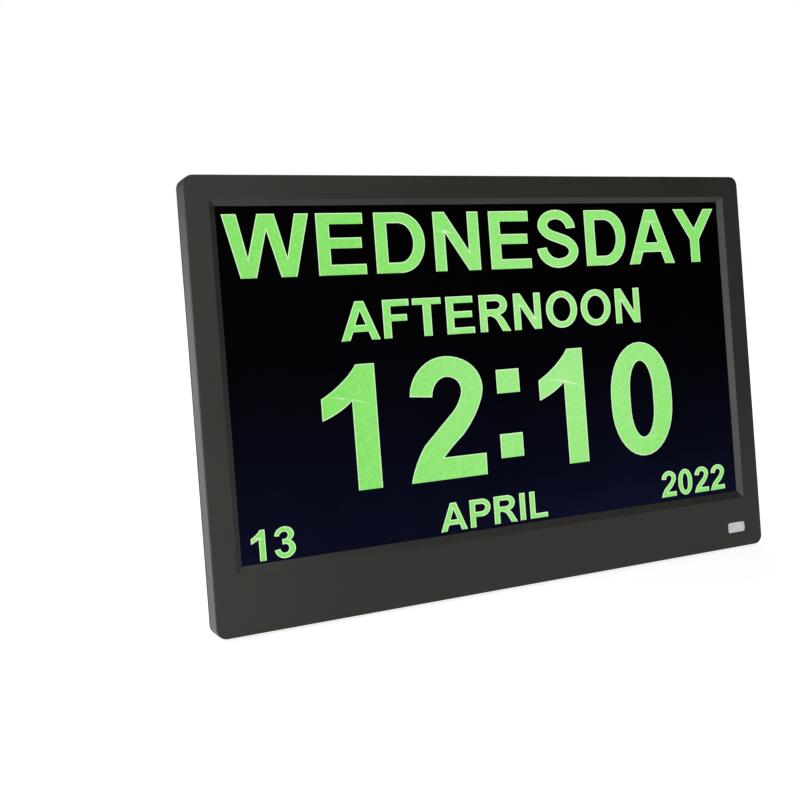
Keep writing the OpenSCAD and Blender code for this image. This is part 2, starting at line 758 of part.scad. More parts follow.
module rear_cover() color(charcoal) difference() {
    in_case() difference() {
        union() {
            cover_shell();
            cover_lip();
            leg_tray();
            board_bosses();
            for (side = [-1, 1]) {
                hanger_pocket(side, 0);
                speaker_well(side);
                wall_ribs(side);
            }
        }
        joint_cut();
        sunk_panels();
        leg_recess();
        board_bores();
        port_holes();
        for (side = [-1, 1]) {
            hanger_pocket(side, hanger_wall);
            keyhole(side);
            grille_seat(side);
            vents(side);
        }
        for (i = [0 : len(KEYS) - 1])
            rod([key_x(i), key_z], key_r + key_gap, back_d - wall - over, back_d + over);
        for (at = case_screws_at) {
            rod(at, screw_r + 0.3, frame_d - over, case_d + over);
            cone(at, screw_r, screw_head_r, case_d - screw_head_t, case_d);
        }
    }
    below_floor();
}

module case_screws() color(steel) in_case() for (at = case_screws_at) flat_screw(at, face_t + 1.5, case_d);

// --- Stand ---

// Draws its children in the leg's own frame: its top at the hinge, Y out of its outer face
module on_leg() in_case() translate([0, hinge_y, hinge_z]) rotate([stand_angle, 0, 0]) children();

// How far in the heel's stop face lies at height z, so that it lies flat on the recess when open
function stop_in(z) = (recess_y + stop_play - hinge_y + z * sin(stand_angle)) / cos(stand_angle);

module leg_outline(inset = 0) {
    shoulder = 14;
    low = leg_len - foot_h;
    polygon([[-leg_w / 2 + inset, inset], [leg_w / 2 - inset, inset], [leg_w / 2 - inset, -shoulder],
             [foot_w / 2 - inset, -low + inset], [-foot_w / 2 + inset, -low + inset],
             [-leg_w / 2 + inset, -shoulder]]);
}

// The heel above the hinge, in section, which stops the open leg
module heel() {
    stop_z = (-barrel_r * cos(stand_angle) + hinge_y - recess_y - stop_play) / sin(stand_angle);
    translate([-leg_w / 2 + 8, 0, 0]) rotate([90, 0, 90]) linear_extrude(leg_w - 16)
        polygon([[leg_out, 0], [leg_out, heel_h], [stop_in(heel_h), heel_h], [-barrel_r, stop_z],
                 [-barrel_r, 0]]);
}

// The sunk panel on the leg's outer face, with bars to pull the leg out by
module leg_panel() slab(leg_out - panel_sunk, leg_out + over) difference() {
    leg_outline(leg_panel_rim);
    translate([-leg_w / 2, -leg_panel_top]) square([leg_w, 30]);
    for (i = [0 : grip_bars - 1])
        translate([0, -leg_len + foot_h + 9 + i * grip_pitch]) stadium(grip_size.x, grip_size.y);
}

module stand_leg() color(charcoal) on_leg() difference() {
    union() {
        bar(-leg_w / 2, leg_w / 2, 0, 0, barrel_r);
        slab(-leg_in, leg_out) leg_outline();
        heel();
    }
    difference() {
        slab(-leg_in - over, leg_out - leg_skin) difference() {
            leg_outline(leg_wall);
            translate([-leg_w / 2, -7]) square([leg_w, 20]);
        }
        for (x = [-11, 0, 11]) block([x - 0.6, -leg_in, -leg_len], [x + 0.6, leg_out, 0]);
        for (z = [-32, -58]) block([-leg_w / 2, -leg_in, z - 0.6], [leg_w / 2, leg_out, z + 0.6]);
    }
    leg_panel();
    bar(-leg_w / 2 - over, leg_w / 2 + over, 0, 0, pin_r + pin_play);
}

module stand_foot() color([0.06, 0.06, 0.06]) difference() {
    on_leg() translate([0, (leg_out - foot_in) / 2, -leg_len - foot_h])
        linear_extrude(2 * foot_h) rounded([foot_w + 1.6, leg_out + foot_in], 1.4);
    below_floor();
}

module hinge_pin() color(steel) in_case() bar(-pin_end, pin_end, hinge_y, hinge_z, pin_r);

front_bezel();
ir_window();
screen_gasket();
lcd_panel();
backlight();
lcd_chassis();
bracket_left();
bracket_right();
bracket_screws();
driver_board();
ribbon_cable();
ir_board();
ir_receiver();
main_board();
board_chips();
coin_holder();
coin_cell();
dc_jack();
headphone_jack();
usb_port();
card_socket();
board_screws();
key_board();
key_switches();
for (i = [0 : len(KEYS) - 1]) key(i);
speaker_left();
speaker_right();
grille_left();
grille_right();
speaker_lead_left();
speaker_lead_right();
ir_lead();
rear_cover();
case_screws();
hinge_pin();
stand_leg();
stand_foot();
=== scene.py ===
# Looks of the leaning day clock: its display, finishes, keys and studio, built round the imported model
import math

import bpy
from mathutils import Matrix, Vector


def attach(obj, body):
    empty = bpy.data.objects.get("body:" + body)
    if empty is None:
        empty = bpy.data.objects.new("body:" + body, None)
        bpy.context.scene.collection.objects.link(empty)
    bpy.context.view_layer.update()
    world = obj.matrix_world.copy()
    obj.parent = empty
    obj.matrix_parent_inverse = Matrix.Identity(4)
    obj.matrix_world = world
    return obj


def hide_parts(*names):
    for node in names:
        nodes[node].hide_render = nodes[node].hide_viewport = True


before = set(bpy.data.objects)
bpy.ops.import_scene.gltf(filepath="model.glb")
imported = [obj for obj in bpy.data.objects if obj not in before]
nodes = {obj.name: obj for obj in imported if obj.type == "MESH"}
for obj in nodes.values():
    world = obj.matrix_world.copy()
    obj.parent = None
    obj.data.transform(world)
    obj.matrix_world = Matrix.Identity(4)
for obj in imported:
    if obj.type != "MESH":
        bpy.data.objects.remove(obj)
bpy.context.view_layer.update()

bpy.ops.object.select_all(action="DESELECT")
print("frame loaded,", len(nodes), "nodes")

mm = 0.001

# The clock's own frame, in millimetres: x right, y back from the face, z up from the case's middle
stance = {
    "lean": math.radians(10.06),
    "back": -13.882,
    "up": 92.207,
}


def caseToRoom(x, y, z):
    c, s = math.cos(stance["lean"]), math.sin(stance["lean"])
    return Vector((x, y * c + z * s + stance["back"], z * c - y * s + stance["up"])) * mm


def activate(piece):
    bpy.ops.object.select_all(action="DESELECT")
    piece.select_set(True)
    bpy.context.view_layer.objects.active = piece


# Turns and moves a piece, and works the move into its mesh
def settle(piece, turn, place):
    activate(piece)
    piece.rotation_euler = turn
    piece.location = place
    bpy.ops.object.transform_apply(location=True, rotation=True, scale=True)


# Takes a piece drawn in the case's frame, in metres, to its place on the leaning clock
def leanBack(piece):
    settle(piece, (-stance["lean"], 0, 0), caseToRoom(0, 0, 0))


def edit(piece, kind="FACE"):
    activate(piece)
    bpy.ops.object.mode_set(mode="EDIT")
    bpy.ops.mesh.select_mode(type=kind)
    bpy.ops.mesh.select_all(action="DESELECT")
    bpy.ops.object.mode_set(mode="OBJECT")


# Selects the faces that pass a test of their middle and normal, and opens edit mode
def pickFaces(piece, test):
    edit(piece)
    for face in piece.data.polygons:
        face.select = test(face.center, face.normal)
    bpy.ops.object.mode_set(mode="EDIT")


def doneEditing():
    bpy.ops.object.mode_set(mode="OBJECT")


def applyModifier(piece, kind, **settings):
    activate(piece)
    modifier = piece.modifiers.new(kind.title(), kind)
    for key, value in settings.items():
        setattr(modifier, key, value)
    bpy.ops.object.modifier_apply(modifier=modifier.name)


# Rounds the edges that bend by more than an angle in degrees, by a width in millimetres
def roundEdges(piece, width, steps, angle):
    applyModifier(piece, "BEVEL", width=width * mm, segments=steps, limit_method="ANGLE",
                  angle_limit=math.radians(angle))


facing = 0.9  # how squarely a face has to point one way to be picked
noiseSpan = (0.3, 0.7)  # where nearly all values of a noise lie
smoothAngle = math.radians(40)


# Shader groups

def newGroup(name, inputs, outputs):
    tree = bpy.data.node_groups.new(name, "ShaderNodeTree")
    for label, value in inputs.items():
        kind = "NodeSocketColor" if isinstance(value, tuple) else "NodeSocketFloat"
        socket = tree.interface.new_socket(name=label, in_out="INPUT", socket_type=kind)
        socket.default_value = value
    for label, kind in outputs.items():
        tree.interface.new_socket(name=label, in_out="OUTPUT", socket_type=kind)
    return tree, tree.nodes.new("NodeGroupInput"), tree.nodes.new("NodeGroupOutput")


def addNode(tree, kind, **settings):
    node = tree.nodes.new("ShaderNode" + kind)
    for key, value in settings.items():
        if key in node.inputs:
            node.inputs[key].default_value = value
        else:
            setattr(node, key, value)
    return node


def addMath(tree, operation, first, second=None, clamp=False):
    node = addNode(tree, "Math", operation=operation, use_clamp=clamp)
    for socket, value in zip(node.inputs, (first, second)):
        if value is None:
            continue
        if isinstance(value, (int, float)):
            socket.default_value = value
        else:
            tree.links.new(value, socket)
    return node.outputs[0]


def addRange(tree, value, low, high, toLow=0.0, toHigh=1.0):
    node = addNode(tree, "MapRange")
    tree.links.new(value, node.inputs["Value"])
    for label, number in zip(("From Min", "From Max", "To Min", "To Max"), (low, high, toLow, toHigh)):
        node.inputs[label].default_value = number
    return node.outputs[0]


# The sum of two values, each taken by its own share
def addShares(tree, first, firstShare, second, secondShare):
    return addMath(tree, "ADD", addMath(tree, "MULTIPLY", first, firstShare),
                   addMath(tree, "MULTIPLY", second, secondShare))


# Noise on the piece's own coordinates, with a grain of the given size in metres
def addNoise(tree, size, detail=2.0, rough=0.5, stretch=(1, 1, 1)):
    place = addNode(tree, "TexCoord")
    mapping = addNode(tree, "Mapping")
    mapping.inputs["Scale"].default_value = stretch
    tree.links.new(place.outputs["Object"], mapping.inputs["Vector"])
    noise = addNode(tree, "TexNoise", Detail=detail, Roughness=rough)
    tree.links.new(mapping.outputs["Vector"], noise.inputs["Vector"])
    if isinstance(size, (int, float)):
        noise.inputs["Scale"].default_value = 1 / size
    else:
        tree.links.new(addMath(tree, "DIVIDE", 1.0, size), noise.inputs["Scale"])
    return noise.outputs["Fac"]


mouldGrainLook = {
    "size": 0.0004, "coarser": 2.7, "heightShares": (0.65, 0.35), "slowSize": 0.06, "slow": noiseSpan,
    "fine": (0.35, 0.65), "toneShares": (0.6, 0.4),
}


# Fine pits of an eroded mould, with slow changes of tone from part to part of the surface
def buildMouldGrain():
    look = mouldGrainLook
    tree, given, made = newGroup(
        "mouldGrain", {"Size": look["size"]}, {"Height": "NodeSocketFloat", "Tone": "NodeSocketFloat"})
    size = given.outputs["Size"]
    fine = addNoise(tree, size, 3.0, 0.6)
    coarse = addNoise(tree, addMath(tree, "MULTIPLY", size, look["coarser"]), 1.0, 0.5)
    fineShare, coarseShare = look["heightShares"]
    tree.links.new(addShares(tree, fine, fineShare, coarse, coarseShare), made.inputs["Height"])
    slow = addRange(tree, addNoise(tree, look["slowSize"], 3.0, 0.55), *look["slow"])
    slowShare, fineShare = look["toneShares"]
    tone = addShares(tree, slow, slowShare, addRange(tree, fine, *look["fine"]), fineShare)
    tree.links.new(tone, made.inputs["Tone"])
    return tree


edgeWearLook = {
    "width": 0.0006, "amount": 0.6, "samples": 4, "bend": (0.02, 0.22), "size": 0.004, "broken": (0.38, 0.62),
    "least": 0.25,
}


# Outer and inner corners where the surface is rubbed, broken up by noise
def buildEdgeWear():
    look = edgeWearLook
    tree, given, made = newGroup(
        "edgeWear", {"Width": look["width"], "Amount": look["amount"]}, {"Mask": "NodeSocketFloat"})
    soft = addNode(tree, "Bevel", samples=look["samples"])
    tree.links.new(given.outputs["Width"], soft.inputs["Radius"])
    surface = addNode(tree, "NewGeometry")
    dot = addNode(tree, "VectorMath", operation="DOT_PRODUCT")
    tree.links.new(soft.outputs["Normal"], dot.inputs[0])
    tree.links.new(surface.outputs["Normal"], dot.inputs[1])
    bend = addRange(tree, addMath(tree, "SUBTRACT", 1.0, dot.outputs["Value"]), *look["bend"])
    broken = addRange(tree, addNoise(tree, look["size"], 4.0, 0.65), *look["broken"], look["least"], 1.0)
    mask = addMath(tree, "MULTIPLY", addMath(tree, "MULTIPLY", bend, broken), given.outputs["Amount"], True)
    tree.links.new(mask, made.inputs["Mask"])
    return tree


settledDustLook = {
    "amount": 0.2, "upward": (0.35, 1.0), "speckSize": 0.0012, "specks": (0.45, 0.62), "leastSpeck": 0.35,
    "driftSize": 0.03, "drift": noiseSpan, "leastDrift": 0.4, "colour": (0.42, 0.40, 0.37),
}


# Dust that has settled on what faces up
def buildSettledDust():
    look = settledDustLook
    tree, given, made = newGroup("settledDust", {"Amount": look["amount"]}, {"Mask": "NodeSocketFloat"})
    surface = addNode(tree, "NewGeometry")
    parts = addNode(tree, "SeparateXYZ")
    tree.links.new(surface.outputs["Normal"], parts.inputs[0])
    upward = addRange(tree, parts.outputs["Z"], *look["upward"])
    specks = addRange(
        tree, addNoise(tree, look["speckSize"], 3.0, 0.7), *look["specks"], look["leastSpeck"], 1.0)
    drift = addRange(
        tree, addNoise(tree, look["driftSize"], 2.0, 0.5), *look["drift"], look["leastDrift"], 1.0)
    mask = addMath(tree, "MULTIPLY", addMath(tree, "MULTIPLY", upward, specks),
                   addMath(tree, "MULTIPLY", drift, given.outputs["Amount"]), True)
    tree.links.new(mask, made.inputs["Mask"])
    return tree


rolledLinesLook = {
    "size": 0.0002, "stretch": (0.04, 1, 1), "blotchSize": 0.009, "shares": (0.5, 0.5),
    "contrast": (0.35, 0.65),
}


# Fine lines drawn along one direction by rolling or brushing
def buildRolledLines():
    look = rolledLinesLook
    tree, given, made = newGroup(
        "rolledLines", {"Size": look["size"]}, {"Height": "NodeSocketFloat", "Tone": "NodeSocketFloat"})
    lines = addNoise(tree, given.outputs["Size"], 2.0, 0.5, look["stretch"])
    tree.links.new(lines, made.inputs["Height"])
    blotch = addNoise(tree, look["blotchSize"], 3.0, 0.6)
    lineShare, blotchShare = look["shares"]
    tone = addShares(tree, lines, lineShare, blotch, blotchShare)
    tree.links.new(addRange(tree, tone, *look["contrast"]), made.inputs["Tone"])
    return tree


groups = {
    "grain": buildMouldGrain(),
    "wear": buildEdgeWear(),
    "dust": buildSettledDust(),
    "lines": buildRolledLines(),
}
print("shader groups built")


def useGroup(tree, key, **values):
    node = tree.nodes.new("ShaderNodeGroup")
    node.node_tree = groups[key]
    for label, value in values.items():
        node.inputs[label].default_value = value
    return node


def newMaterial(name):
    finish = bpy.data.materials.new(name)
    finish.use_nodes = True
    tree = finish.node_tree
    return finish, tree, tree.nodes["Principled BSDF"]


def mixColour(tree, mask, first, second):
    node = addNode(tree, "Mix", data_type="RGBA")
    tree.links.new(mask, node.inputs["Factor"])
    for socket, value in ((node.inputs[6], first), (node.inputs[7], second)):
        if isinstance(value, tuple):
            socket.default_value = (*value, 1)
        else:
            tree.links.new(value, socket)
    return node.outputs[2]


def addBump(tree, shader, height, distance, strength=1.0):
    bump = addNode(tree, "Bump", Strength=strength, Distance=distance)
    tree.links.new(height, bump.inputs["Height"])
    tree.links.new(bump.outputs["Normal"], shader.inputs["Normal"])


# A finish with a grain, two tones, rubbed corners and a little dust
def makeFinish(name, look):
    finish, tree, shader = newMaterial(name)
    grain = useGroup(tree, look.get("pattern", "grain"), Size=look["grain"])
    colour = mixColour(tree, grain.outputs["Tone"], look["colour"], look["second"])
    if look.get("wear"):
        wear = useGroup(tree, "wear", Width=look["wearWidth"], Amount=look["wear"])
        colour = mixColour(tree, wear.outputs["Mask"], colour, look["worn"])
    if look.get("dust"):
        dust = useGroup(tree, "dust", Amount=look["dust"])
        colour = mixColour(tree, dust.outputs["Mask"], colour, settledDustLook["colour"])
    tree.links.new(colour, shader.inputs["Base Color"])
    low, high = look["rough"]
    tree.links.new(addRange(tree, grain.outputs["Tone"], 0.0, 1.0, low, high), shader.inputs["Roughness"])
    addBump(tree, shader, grain.outputs["Height"], look["depth"], look.get("strength", 1.0))
    shader.inputs["Metallic"].default_value = look.get("metal", 0.0)
    shader.inputs["Specular IOR Level"].default_value = look.get("shine", 0.5)
    return finish


# Finishes of the plastics, metals and films

casePlasticLook = {
    "colour": (0.0248, 0.0240, 0.0206), "second": (0.0312, 0.0303, 0.0263),
    "grain": 0.00035, "depth": 0.00006, "strength": 0.5, "rough": (0.35, 0.45), "shine": 0.31,
    "wear": 0.12, "wearWidth": 0.0005, "worn": (0.06, 0.058, 0.054), "dust": 0.03,
}
rearPlasticLook = dict(casePlasticLook, **{
    "colour": (0.020, 0.0197, 0.018), "second": (0.028, 0.0275, 0.025), "grain": 0.0006,
    "depth": 0.00012, "rough": (0.52, 0.66), "dust": 0.08,
})
legPlasticLook = dict(rearPlasticLook, **{"colour": (0.018, 0.018, 0.0165), "grain": 0.0005, "wear": 0.5})
darkPlasticLook = dict(rearPlasticLook, **{
    "colour": (0.012, 0.012, 0.012), "second": (0.018, 0.018, 0.018), "grain": 0.0003,
    "rough": (0.42, 0.55),
})
keyPlasticLook = dict(rearPlasticLook, **{
    "colour": (0.014, 0.014, 0.014), "second": (0.02, 0.02, 0.02), "grain": 0.00025, "depth": 0.00003,
    "rough": (0.34, 0.44), "shine": 0.5, "wear": 0.6, "wearWidth": 0.0004,
})
keyPrintLook = dict(keyPlasticLook, **{
    "colour": (0.40, 0.40, 0.39), "second": (0.48, 0.48, 0.47), "wear": 0.3, "worn": (0.2, 0.2, 0.2),
    "rough": (0.4, 0.5),
})
componentLook = {
    "colour": (0.016, 0.016, 0.018), "second": (0.028, 0.028, 0.03), "grain": 0.0002, "depth": 0.00002,
    "rough": (0.4, 0.6), "wear": 0.3, "wearWidth": 0.0002, "worn": (0.09, 0.09, 0.09),
}
rubberLook = {
    "colour": (0.010, 0.010, 0.010), "second": (0.02, 0.0195, 0.019), "grain": 0.0005, "depth": 0.00008,
    "rough": (0.75, 0.9), "shine": 0.3, "wear": 0.5, "wearWidth": 0.0006, "worn": (0.05, 0.048, 0.045),
    "dust": 0.15,
}
foamLook = {
    "colour": (0.02, 0.02, 0.02), "second": (0.045, 0.045, 0.045), "grain": 0.0004, "depth": 0.0003,
    "rough": (0.85, 0.95), "shine": 0.2,
}
diffuserLook = {
    "colour": (0.78, 0.79, 0.76), "second": (0.86, 0.87, 0.85), "grain": 0.0003, "depth": 0.00002,
    "rough": (0.35, 0.5),
}
ribbonLook = {
    "colour": (0.62, 0.61, 0.56), "second": (0.74, 0.73, 0.69), "pattern": "lines", "grain": 0.0005,
    "depth": 0.00006, "rough": (0.3, 0.45),
}
redLeadLook = {
    "colour": (0.32, 0.016, 0.012), "second": (0.42, 0.03, 0.02), "grain": 0.0003, "depth": 0.00002,
    "rough": (0.35, 0.5),
}
greyLeadLook = dict(redLeadLook, **{"colour": (0.03, 0.03, 0.032), "second": (0.05, 0.05, 0.052)})
steelLook = {
    "colour": (0.46, 0.46, 0.47), "second": (0.58, 0.58, 0.6), "pattern": "lines", "grain": 0.00015,
    "depth": 0.00001, "rough": (0.22, 0.38), "metal": 1.0, "wear": 0.4, "wearWidth": 0.0003,
    "worn": (0.75, 0.75, 0.76),
}
screwSteelLook = dict(steelLook, **{
    "colour": (0.20, 0.20, 0.205), "second": (0.30, 0.30, 0.31), "rough": (0.28, 0.42),
    "worn": (0.6, 0.6, 0.62),
})
chassisLook = dict(steelLook, **{
    "colour": (0.5, 0.5, 0.49), "second": (0.6, 0.6, 0.59), "grain": 0.0006, "rough": (0.38, 0.55),
})
goldLook = dict(steelLook, **{
    "colour": (0.78, 0.52, 0.18), "second": (0.85, 0.62, 0.26), "rough": (0.2, 0.32),
    "worn": (0.9, 0.75, 0.4),
})

casePlastic = makeFinish("casePlastic", casePlasticLook)
rearPlastic = makeFinish("rearPlastic", rearPlasticLook)
legPlastic = makeFinish("legPlastic", legPlasticLook)
darkPlastic = makeFinish("darkPlastic", darkPlasticLook)
keyPlastic = makeFinish("keyPlastic", keyPlasticLook)
componentBlack = makeFinish("componentBlack", componentLook)
footRubber = makeFinish("footRubber", rubberLook)
gasketFoam = makeFinish("gasketFoam", foamLook)
lightGuide = makeFinish("lightGuide", diffuserLook)
ribbonFilm = makeFinish("ribbonFilm", ribbonLook)
redJacket = makeFinish("redJacket", redLeadLook)
greyJacket = makeFinish("greyJacket", greyLeadLook)
brightSteel = makeFinish("brightSteel", steelLook)
screwSteel = makeFinish("screwSteel", screwSteelLook)
chassisMetal = makeFinish("chassisMetal", chassisLook)
goldPlate = makeFinish("goldPlate", goldLook)
keyPrint = makeFinish("keyPrint", keyPrintLook)


# Circuit boards: solder mask with copper tracks under it

boardLook = {
    "mask": (0.006, 0.075, 0.03), "maskDark": (0.003, 0.045, 0.018), "track": (0.012, 0.14, 0.06),
    "trackPitch": 0.0026, "trackWidth": 0.045, "trackSoft": 0.3, "offset": 0.35, "squash": 0.6,
    "squashEvery": 3, "grain": 0.0005, "rough": (0.25, 0.4), "depth": 0.00004,
}


def makeBoardFinish():
    finish, tree, shader = newMaterial("boardGreen")
    place = addNode(tree, "TexCoord")
    turned = addNode(tree, "Mapping")
    turned.inputs["Rotation"].default_value = (math.radians(90) + stance["lean"], 0, 0)
    tree.links.new(place.outputs["Object"], turned.inputs["Vector"])
    tracks = addNode(tree, "TexBrick", offset=boardLook["offset"], squash=boardLook["squash"],
                     squash_frequency=boardLook["squashEvery"])
    tracks.inputs["Scale"].default_value = 1 / boardLook["trackPitch"]
    tracks.inputs["Mortar Size"].default_value = boardLook["trackWidth"]
    tracks.inputs["Mortar Smooth"].default_value = boardLook["trackSoft"]
    tree.links.new(turned.outputs["Vector"], tracks.inputs["Vector"])
    grain = useGroup(tree, "grain", Size=boardLook["grain"])
    ground = mixColour(tree, grain.outputs["Tone"], boardLook["maskDark"], boardLook["mask"])
    colour = mixColour(tree, tracks.outputs["Fac"], ground, boardLook["track"])
    tree.links.new(colour, shader.inputs["Base Color"])
    low, high = boardLook["rough"]
    tree.links.new(addRange(tree, grain.outputs["Tone"], 0, 1, low, high), shader.inputs["Roughness"])
    addBump(tree, shader, tracks.outputs["Fac"], boardLook["depth"])
    return finish


boardGreen = makeBoardFinish()


# Display: a black matt panel whose lamp glows through a little more towards its lower edge

displayLook = {
    "black": (0.0009, 0.0009, 0.0011), "blackPale": (0.0013, 0.0013, 0.0016), "rough": (0.3, 0.36),
    "shine": 0.01, "grain": 0.00012, "depth": 0.000004,
    "glow": (0.0030, 0.0038, 0.0165), "glowTop": 0.060, "glowFoot": -0.065, "glowCurve": 2.6,
    "cloudSize": 0.07, "cloud": (0.6, 1.25),
}


# Height along the leaning face and distance to the right, both from the case's middle, in metres
def addFacePlace(tree):
    place = addNode(tree, "TexCoord")
    parts = addNode(tree, "SeparateXYZ")
    tree.links.new(place.outputs["Object"], parts.inputs[0])
    c, s = math.cos(stance["lean"]), math.sin(stance["lean"])
    back = addMath(tree, "MULTIPLY", addMath(tree, "SUBTRACT", parts.outputs["Y"], stance["back"] * mm), s)
    up = addMath(tree, "MULTIPLY", addMath(tree, "SUBTRACT", parts.outputs["Z"], stance["up"] * mm), c)
    return addMath(tree, "ADD", back, up), parts.outputs["X"]


def makeDisplayFace():
    finish, tree, shader = newMaterial("displayFace")
    height = addFacePlace(tree)[0]
    depth = addRange(tree, height, displayLook["glowTop"], displayLook["glowFoot"])
    haze = addNoise(tree, displayLook["cloudSize"], 3.0, 0.6)
    cloud = addRange(tree, haze, *noiseSpan, *displayLook["cloud"])
    strength = addMath(tree, "MULTIPLY", addMath(tree, "POWER", depth, displayLook["glowCurve"]), cloud)
    glow = mixColour(tree, strength, (0.0, 0.0, 0.0), displayLook["glow"])
    tree.links.new(glow, shader.inputs["Emission Color"])
    shader.inputs["Emission Strength"].default_value = 1.0
    grain = useGroup(tree, "grain", Size=displayLook["grain"])
    tree.links.new(mixColour(tree, grain.outputs["Tone"], displayLook["black"], displayLook["blackPale"]),
                   shader.inputs["Base Color"])
    low, high = displayLook["rough"]
    tree.links.new(addRange(tree, grain.outputs["Tone"], 0, 1, low, high), shader.inputs["Roughness"])
    shader.inputs["Specular IOR Level"].default_value = displayLook["shine"]
    addBump(tree, shader, grain.outputs["Height"], displayLook["depth"])
    return finish


# Colours of the letters and of their rims, each away from the bright spot and, as "Near", at it
litLook = {
    "lit": (0.205, 0.725, 0.110), "litNear": (0.375, 0.838, 0.265),
    "rim": (0.66, 0.96, 0.54), "rimNear": (0.76, 0.98, 0.66), "rimWidth": 0.36,
    "brightSpot": (0.030, 0.005), "spotReach": 0.115, "tone": (0.22, 0.95), "speckleSize": 0.0012,
    "speckle": 0.30, "under": (0.004, 0.012, 0.004), "underPale": (0.006, 0.016, 0.005),
    "rough": 0.4, "shine": 0.1,
}


# Lit picture: paler towards the bright spot of the lamp behind it, and faintly speckled by the panel's dots
def makeLitFinish(name, far, near):
    look = litLook
    finish, tree, shader = newMaterial(name)
    height, across = addFacePlace(tree)
    x, z = look["brightSpot"]
    aside = addMath(tree, "POWER", addMath(tree, "SUBTRACT", across, x), 2.0)
    above = addMath(tree, "POWER", addMath(tree, "SUBTRACT", height, z), 2.0)
    distance = addMath(tree, "SQRT", addMath(tree, "ADD", aside, above))
    spot = addRange(tree, distance, look["spotReach"], 0.0)
    grit = addNoise(tree, look["speckleSize"], 2.0, 0.6)
    speckle = addRange(tree, grit, *noiseSpan, -look["speckle"], look["speckle"])
    tone = addMath(tree, "ADD", addRange(tree, spot, 0.0, 1.0, *look["tone"]), speckle, True)
    tree.links.new(mixColour(tree, tone, far, near), shader.inputs["Emission Color"])
    tree.links.new(mixColour(tree, speckle, look["under"], look["underPale"]), shader.inputs["Base Color"])
    shader.inputs["Emission Strength"].default_value = 1.0
    shader.inputs["Roughness"].default_value = look["rough"]
    shader.inputs["Specular IOR Level"].default_value = look["shine"]
    return finish


displayFace = makeDisplayFace()
litGreen = makeLitFinish("litGreen", litLook["lit"], litLook["litNear"])
litRim = makeLitFinish("litRim", litLook["rim"], litLook["rimNear"])

# Receiver window: pale smoky plastic, a little translucent

windowLook = {
    "colour": (0.86, 0.93, 0.99), "second": (0.95, 0.99, 1.0), "rough": (0.22, 0.32), "cloudSize": 0.0035,
    "clear": 0.3, "reach": (0.001, 0.001, 0.0014), "depth": 0.00002,
}


def makeWindowFinish():
    finish, tree, shader = newMaterial("windowSmoke")
    cloud = addRange(tree, addNoise(tree, windowLook["cloudSize"], 3.0, 0.5), *noiseSpan)
    colour = mixColour(tree, cloud, windowLook["colour"], windowLook["second"])
    tree.links.new(colour, shader.inputs["Base Color"])
    low, high = windowLook["rough"]
    tree.links.new(addRange(tree, cloud, 0, 1, low, high), shader.inputs["Roughness"])
    shader.inputs["Subsurface Weight"].default_value = windowLook["clear"]
    shader.inputs["Subsurface Radius"].default_value = windowLook["reach"]
    shader.inputs["Subsurface Scale"].default_value = 1.0
    addBump(tree, shader, cloud, windowLook["depth"])
    return finish


windowSmoke = makeWindowFinish()
print("finishes made")

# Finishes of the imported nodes

nodeFinishes = {
    "front_bezel": casePlastic, "ir_window": windowSmoke, "screen_gasket": gasketFoam,
    "lcd_panel": displayFace, "backlight": lightGuide, "lcd_chassis": chassisMetal,
    "bracket_left": brightSteel, "bracket_right": brightSteel, "bracket_screws": screwSteel,
    "driver_board": boardGreen, "ribbon_cable": ribbonFilm, "ir_board": boardGreen,
    "ir_receiver": componentBlack, "main_board": boardGreen, "board_chips": componentBlack,
    "coin_holder": componentBlack, "coin_cell": brightSteel, "dc_jack": componentBlack,
    "headphone_jack": componentBlack, "usb_port": brightSteel, "card_socket": brightSteel,
    "board_screws": screwSteel, "key_board": boardGreen, "key_switches": componentBlack,
    "speaker_left": darkPlastic, "speaker_right": darkPlastic, "grille_left": darkPlastic,
    "grille_right": darkPlastic, "speaker_lead_left": redJacket, "speaker_lead_right": redJacket,
    "ir_lead": greyJacket, "rear_cover": rearPlastic, "case_screws": screwSteel,
    "hinge_pin": brightSteel, "stand_leg": legPlastic, "stand_foot": footRubber,
}
for name, node in nodes.items():
    node.data.materials.clear()
    node.data.materials.append(nodeFinishes.get(name, keyPlastic))
print("nodes finished")

